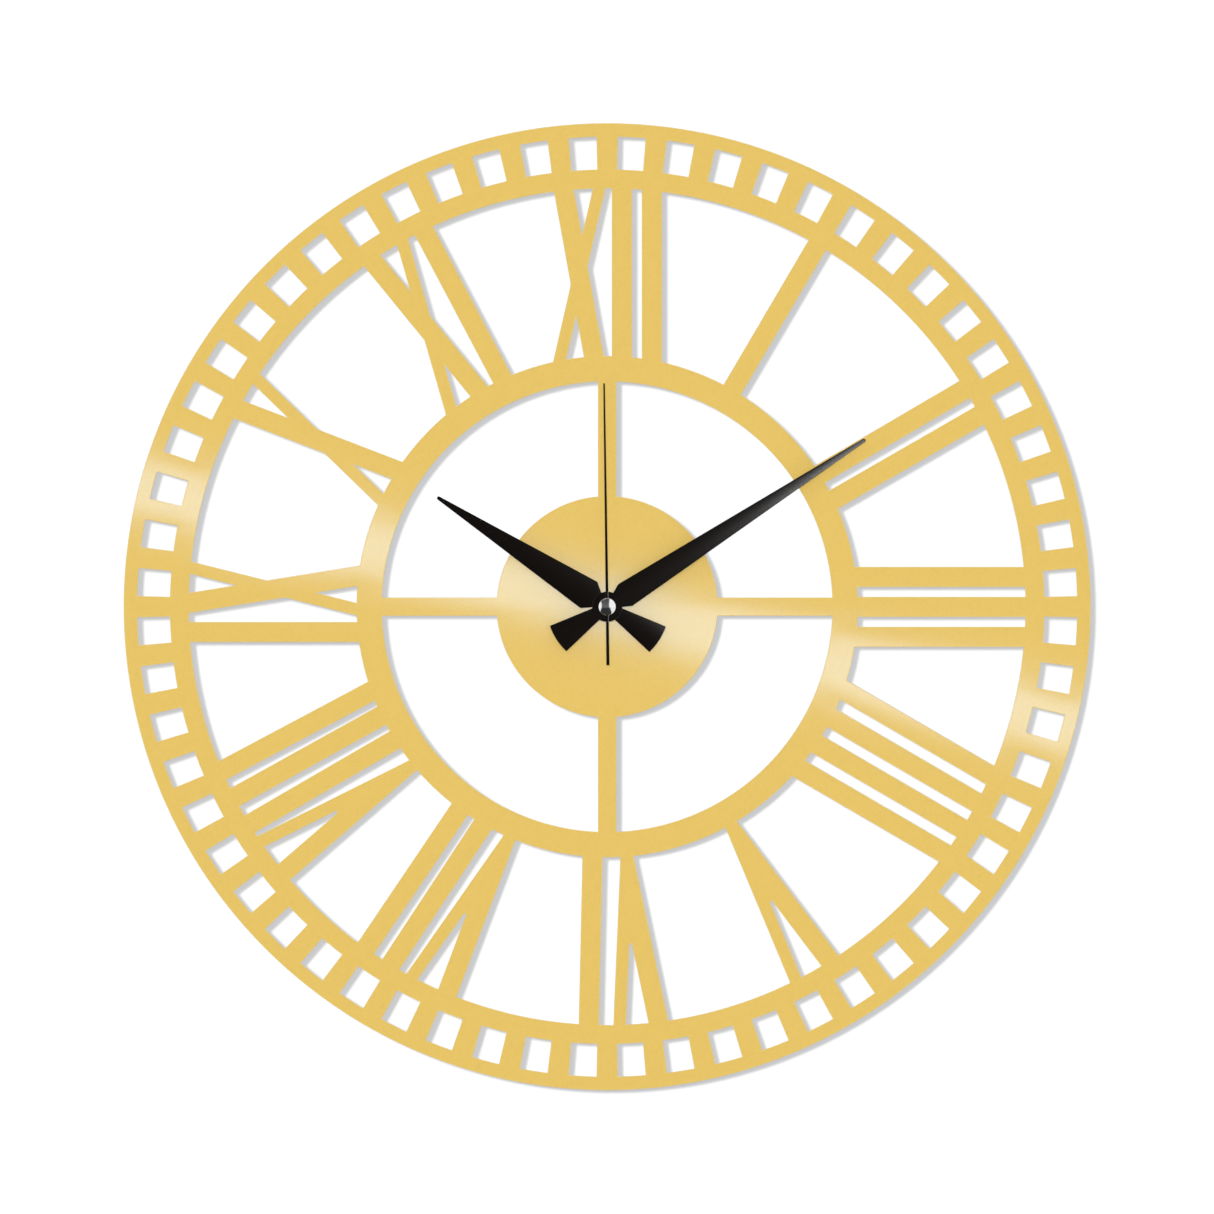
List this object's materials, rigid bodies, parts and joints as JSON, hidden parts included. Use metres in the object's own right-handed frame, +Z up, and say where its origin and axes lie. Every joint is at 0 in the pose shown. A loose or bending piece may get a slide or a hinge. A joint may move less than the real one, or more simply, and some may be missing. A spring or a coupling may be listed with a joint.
{
  "type": "wall clock",
  "caption": "Round wall clock: cut-out gold metal dial with Roman numeral strokes between two rings, black hands with a dome cap, and a battery quartz movement behind the centre disc.",
  "frame": {"origin": "where the axis of the hands meets the wall plane, on the flat back of the movement", "axes": "+Z up with twelve at the top, +Y into the wall, +X to the viewer's right"},
  "size_m": [0.4999, 0.0317, 0.5],
  "materials": {
    "gold_coat": "gold powder coat on cut steel sheet, satin gloss",
    "black_hand": "satin black paint on stamped aluminium",
    "bright_cap": "polished bright plating",
    "clamp_brass": "turned brass",
    "seal_rubber": "soft black rubber",
    "case_plastic": "moulded black plastic, fine texture",
    "knob_plastic": "moulded black plastic",
    "wheel_plastic": "moulded natural acetal",
    "steel": "bare steel",
    "magnet": "sintered magnet",
    "bobbin_plastic": "moulded plastic",
    "copper_wire": "enamelled copper wire",
    "board": "glass-fibre board with green lacquer",
    "crystal_can": "plated can",
    "chip_resin": "cast black resin",
    "cell": null,
    "contact_strip": "nickel-plated spring strip"
  },
  "bodies": {
    "clock_body": {"dial_plate": "gold_coat", "front_case": "case_plastic", "rear_cover": "case_plastic", "threaded_bush": "clamp_brass", "sealing_washer": "seal_rubber", "flat_washer": "clamp_brass", "hex_nut": "clamp_brass", "coil_core": "steel", "stator_plate": "steel", "coil_bobbin": "bobbin_plastic", "coil_winding": "copper_wire", "circuit_board": "board", "quartz_crystal": "crystal_can", "chip_cap": "chip_resin", "positive_contact": "contact_strip", "negative_contact": "contact_strip"},
    "minute": {"cannon_pinion": "wheel_plastic", "minute_hand": "black_hand", "minute_bush": "clamp_brass"},
    "hour": {"hour_wheel": "wheel_plastic", "hour_hand": "black_hand", "hour_bush": "clamp_brass"},
    "second": {"seconds_arbor": "steel", "seconds_wheel": "wheel_plastic", "second_hand": "black_hand", "second_collet": "clamp_brass", "second_cap": "bright_cap"},
    "motion": {"motion_wheel": "wheel_plastic"},
    "setting": {"setting_pinion": "wheel_plastic", "setting_knob": "knob_plastic"},
    "centre": {"centre_wheel": "wheel_plastic"},
    "third": {"third_wheel": "wheel_plastic"},
    "fifth": {"fifth_wheel": "wheel_plastic"},
    "rotor": {"rotor_pinion": "wheel_plastic", "rotor_magnet": "magnet"},
    "battery": {"battery_cell": "cell"}
  },
  "joints": [
    {"name": "minute_turn", "type": "hinge", "parent": "clock_body", "child": "minute", "pos_m": [0, 0, 0], "axis": [0, 1, 0], "continuous": true},
    {"name": "hour_turn", "type": "hinge", "parent": "clock_body", "child": "hour", "pos_m": [0, 0, 0], "axis": [0, 1, 0], "continuous": true},
    {"name": "motion_turn", "type": "hinge", "parent": "clock_body", "child": "motion", "pos_m": [0.0084, 0, 0], "axis": [0, 1, 0], "continuous": true},
    {"name": "setting_turn", "type": "hinge", "parent": "clock_body", "child": "setting", "pos_m": [0.01667, 0, 0.00146], "axis": [0, 1, 0], "continuous": true},
    {"name": "second_turn", "type": "hinge", "parent": "clock_body", "child": "second", "pos_m": [0, 0, 0], "axis": [0, 1, 0], "continuous": true},
    {"name": "centre_turn", "type": "hinge", "parent": "clock_body", "child": "centre", "pos_m": [0, 0, 0], "axis": [0, 1, 0], "continuous": true},
    {"name": "third_turn", "type": "hinge", "parent": "clock_body", "child": "third", "pos_m": [-0.00165, 0, 0.00936], "axis": [0, 1, 0], "continuous": true},
    {"name": "fifth_turn", "type": "hinge", "parent": "clock_body", "child": "fifth", "pos_m": [-0.01008, 0, 0], "axis": [0, 1, 0], "continuous": true},
    {"name": "rotor_turn", "type": "hinge", "parent": "clock_body", "child": "rotor", "pos_m": [-0.0136, 0, 0.00605], "axis": [0, 1, 0], "continuous": true},
    {"name": "battery_pull", "type": "slide", "parent": "clock_body", "child": "battery", "axis": [0, 1, 0], "range_m": [0, 0.016]}
  ],
  "couplings": [
    {"joint": "motion_turn", "follows": "minute_turn", "ratio": -0.33333},
    {"joint": "hour_turn", "follows": "minute_turn", "ratio": 0.083333},
    {"joint": "setting_turn", "follows": "minute_turn", "ratio": 1},
    {"joint": "third_turn", "follows": "second_turn", "ratio": -0.13333},
    {"joint": "centre_turn", "follows": "second_turn", "ratio": 0.016667},
    {"joint": "fifth_turn", "follows": "second_turn", "ratio": -5},
    {"joint": "rotor_turn", "follows": "second_turn", "ratio": 30}
  ]
}
